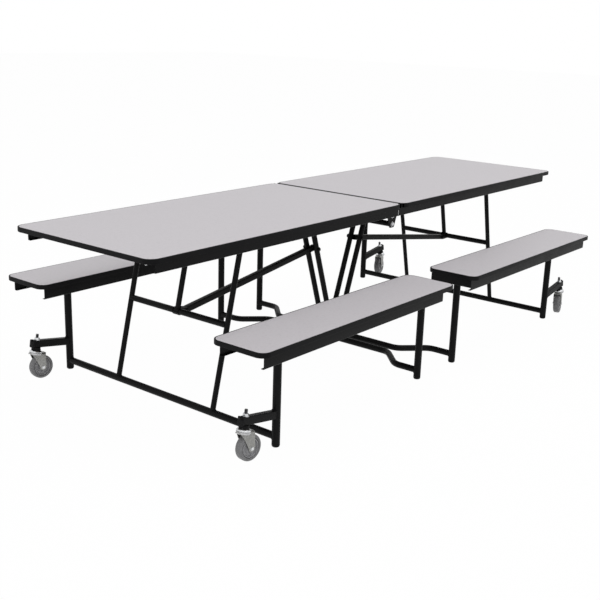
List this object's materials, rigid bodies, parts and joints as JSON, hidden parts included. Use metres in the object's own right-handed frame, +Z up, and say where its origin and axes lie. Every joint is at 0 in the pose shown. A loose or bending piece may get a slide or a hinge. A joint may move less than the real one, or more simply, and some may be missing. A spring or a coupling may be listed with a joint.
{
  "type": "folding cafeteria table with benches",
  "caption": "Mobile folding cafeteria table: hinged laminate top halves with attached bench seats on black tube frames, centre link plates, diagonal struts and swivel casters.",
  "frame": {"origin": "on the floor under the middle of the seam between the two top halves", "axes": "+X along the length of the table, +Y across it from the front benches to the rear benches, +Z up"},
  "size_m": [3.048, 1.452, 0.737],
  "materials": {
    "laminate": "matt pale grey laminate on a wood core",
    "edge_moulding": "black vinyl moulding",
    "black_steel": "black powder coat",
    "zinc": "bright zinc plate",
    "black_plastic": "moulded black plastic",
    "grey_wheel": "grey non-marking tread on a moulded hub"
  },
  "bodies": {
    "left_outer_frame": {"left_outer_crossbar": "black_steel", "left_outer_posts": "black_steel", "left_outer_legs": "black_steel", "left_outer_leg_bars": "black_steel", "left_strut_saddle": "black_steel", "left_caster_arms": "black_steel", "left_caster_stems": "zinc", "left_outer_plastic_ends": "black_plastic"},
    "left_top": {"left_top_board": "laminate", "left_top_edge_band": "edge_moulding", "left_top_rails": "black_steel", "left_top_brackets": "black_steel", "left_top_pivot_bolts": "zinc"},
    "left_inner_frame": {"left_inner_legs": "black_steel", "left_inner_bent_crossbar": "black_steel", "left_inner_posts": "black_steel", "left_inner_plastic_ends": "black_plastic"},
    "left_strut_link": {"left_strut": "black_steel"},
    "left_front_bench": {"left_front_seat_board": "laminate", "left_front_seat_edge_band": "edge_moulding", "left_front_seat_frame": "black_steel"},
    "left_front_caster": {"left_front_caster_fork": "zinc"},
    "left_front_wheel": {"left_front_caster_wheel": "grey_wheel"},
    "left_rear_bench": {"left_rear_seat_board": "laminate", "left_rear_seat_edge_band": "edge_moulding", "left_rear_seat_frame": "black_steel"},
    "left_rear_caster": {"left_rear_caster_fork": "zinc"},
    "left_rear_wheel": {"left_rear_caster_wheel": "grey_wheel"},
    "right_outer_frame": {"right_outer_crossbar": "black_steel", "right_outer_posts": "black_steel", "right_outer_legs": "black_steel", "right_outer_leg_bars": "black_steel", "right_strut_saddle": "black_steel", "right_caster_arms": "black_steel", "right_caster_stems": "zinc", "right_outer_plastic_ends": "black_plastic"},
    "right_top": {"right_top_board": "laminate", "right_top_edge_band": "edge_moulding", "right_top_rails": "black_steel", "right_top_brackets": "black_steel", "right_top_pivot_bolts": "zinc"},
    "right_inner_frame": {"right_inner_legs": "black_steel", "right_inner_bent_crossbar": "black_steel", "right_inner_posts": "black_steel", "right_inner_plastic_ends": "black_plastic"},
    "right_strut_link": {"right_strut": "black_steel"},
    "right_front_bench": {"right_front_seat_board": "laminate", "right_front_seat_edge_band": "edge_moulding", "right_front_seat_frame": "black_steel"},
    "right_front_caster": {"right_front_caster_fork": "zinc"},
    "right_front_wheel": {"right_front_caster_wheel": "grey_wheel"},
    "right_rear_bench": {"right_rear_seat_board": "laminate", "right_rear_seat_edge_band": "edge_moulding", "right_rear_seat_frame": "black_steel"},
    "right_rear_caster": {"right_rear_caster_fork": "zinc"},
    "right_rear_wheel": {"right_rear_caster_wheel": "grey_wheel"},
    "centre_link": {"link_plates": "black_steel", "link_cross_tube": "black_steel", "link_bolts": "zinc"}
  },
  "joints": [
    {"name": "left_top_fold", "type": "hinge", "parent": "left_outer_frame", "child": "left_top", "pos_m": [-0.96, 0, 0.697], "axis": [0, -1, 0], "range_deg": [0, 70]},
    {"name": "centre_hinge", "type": "hinge", "parent": "left_top", "child": "right_top", "pos_m": [0, 0, 0.675], "axis": [0, 1, 0], "range_deg": [0, 140.01]},
    {"name": "link_hinge", "type": "hinge", "parent": "left_top", "child": "centre_link", "pos_m": [0, 0, 0.675], "axis": [0, 1, 0], "range_deg": [0, 70.01]},
    {"name": "right_top_fold", "type": "hinge", "parent": "right_top", "child": "right_outer_frame", "pos_m": [0.96, 0, 0.697], "axis": [0, -1, 0], "range_deg": [0, 70.01]},
    {"name": "left_inner_frame_pivot", "type": "hinge", "parent": "left_top", "child": "left_inner_frame", "pos_m": [-0.24, 0, 0.697], "axis": [0, 1, 0], "range_deg": [0, 93.13]},
    {"name": "left_strut_pivot", "type": "hinge", "parent": "left_outer_frame", "child": "left_strut_link", "pos_m": [-0.995, 0, 0.374], "axis": [0, -1, 0], "range_deg": [0, 62.92]},
    {"name": "left_front_bench_pivot", "type": "hinge", "parent": "left_outer_frame", "child": "left_front_bench", "pos_m": [-1.116, -0.6, 0.4], "axis": [0, -1, 0], "range_deg": [0, 62.66]},
    {"name": "left_rear_bench_pivot", "type": "hinge", "parent": "left_outer_frame", "child": "left_rear_bench", "pos_m": [-1.116, 0.6, 0.4], "axis": [0, -1, 0], "range_deg": [0, 62.66]},
    {"name": "right_inner_frame_pivot", "type": "hinge", "parent": "right_top", "child": "right_inner_frame", "pos_m": [0.24, 0, 0.697], "axis": [0, -1, 0], "range_deg": [0, 93.13]},
    {"name": "right_strut_pivot", "type": "hinge", "parent": "right_outer_frame", "child": "right_strut_link", "pos_m": [0.995, 0, 0.374], "axis": [0, 1, 0], "range_deg": [0, 62.92]},
    {"name": "right_front_bench_pivot", "type": "hinge", "parent": "right_outer_frame", "child": "right_front_bench", "pos_m": [1.116, -0.6, 0.4], "axis": [0, 1, 0], "range_deg": [0, 62.66]},
    {"name": "right_rear_bench_pivot", "type": "hinge", "parent": "right_outer_frame", "child": "right_rear_bench", "pos_m": [1.116, 0.6, 0.4], "axis": [0, 1, 0], "range_deg": [0, 62.66]},
    {"name": "left_front_caster_swivel", "type": "hinge", "parent": "left_outer_frame", "child": "left_front_caster", "pos_m": [-1.28761, -0.6, 0.15772], "axis": [0.165, 0, 0.9863], "continuous": true},
    {"name": "left_front_wheel_spin", "type": "hinge", "parent": "left_front_caster", "child": "left_front_wheel", "pos_m": [-1.27296, -0.6039, 0.05284], "axis": [0.1202, 0.9925, -0.0201], "continuous": true},
    {"name": "left_rear_caster_swivel", "type": "hinge", "parent": "left_outer_frame", "child": "left_rear_caster", "pos_m": [-1.28761, 0.6, 0.15772], "axis": [0.165, 0, 0.9863], "continuous": true},
    {"name": "left_rear_wheel_spin", "type": "hinge", "parent": "left_rear_caster", "child": "left_rear_wheel", "pos_m": [-1.27296, 0.5961, 0.05284], "axis": [0.1202, 0.9925, -0.0201], "continuous": true},
    {"name": "right_front_caster_swivel", "type": "hinge", "parent": "right_outer_frame", "child": "right_front_caster", "pos_m": [1.28761, -0.6, 0.15772], "axis": [-0.165, 0, 0.9863], "continuous": true},
    {"name": "right_front_wheel_spin", "type": "hinge", "parent": "right_front_caster", "child": "right_front_wheel", "pos_m": [1.27395, -0.60882, 0.053], "axis": [-0.2719, 0.9613, -0.0455], "continuous": true},
    {"name": "right_rear_caster_swivel", "type": "hinge", "parent": "right_outer_frame", "child": "right_rear_caster", "pos_m": [1.28761, 0.6, 0.15772], "axis": [-0.165, 0, 0.9863], "continuous": true},
    {"name": "right_rear_wheel_spin", "type": "hinge", "parent": "right_rear_caster", "child": "right_rear_wheel", "pos_m": [1.27395, 0.59118, 0.053], "axis": [-0.2719, 0.9613, -0.0455], "continuous": true}
  ],
  "couplings": [
    {"joint": "centre_hinge", "follows": "left_top_fold", "ratio": 2},
    {"joint": "link_hinge", "follows": "left_top_fold", "ratio": 1},
    {"joint": "right_top_fold", "follows": "left_top_fold", "ratio": 1},
    {"joint": "left_inner_frame_pivot", "follows": "left_top_fold", "ratio": 1.3303},
    {"joint": "left_strut_pivot", "follows": "left_top_fold", "ratio": 0.89864},
    {"joint": "left_front_bench_pivot", "follows": "left_top_fold", "ratio": 0.895},
    {"joint": "left_rear_bench_pivot", "follows": "left_top_fold", "ratio": 0.895},
    {"joint": "right_inner_frame_pivot", "follows": "left_top_fold", "ratio": 1.3303},
    {"joint": "right_strut_pivot", "follows": "left_top_fold", "ratio": 0.89864},
    {"joint": "right_front_bench_pivot", "follows": "left_top_fold", "ratio": 0.895},
    {"joint": "right_rear_bench_pivot", "follows": "left_top_fold", "ratio": 0.895}
  ]
}
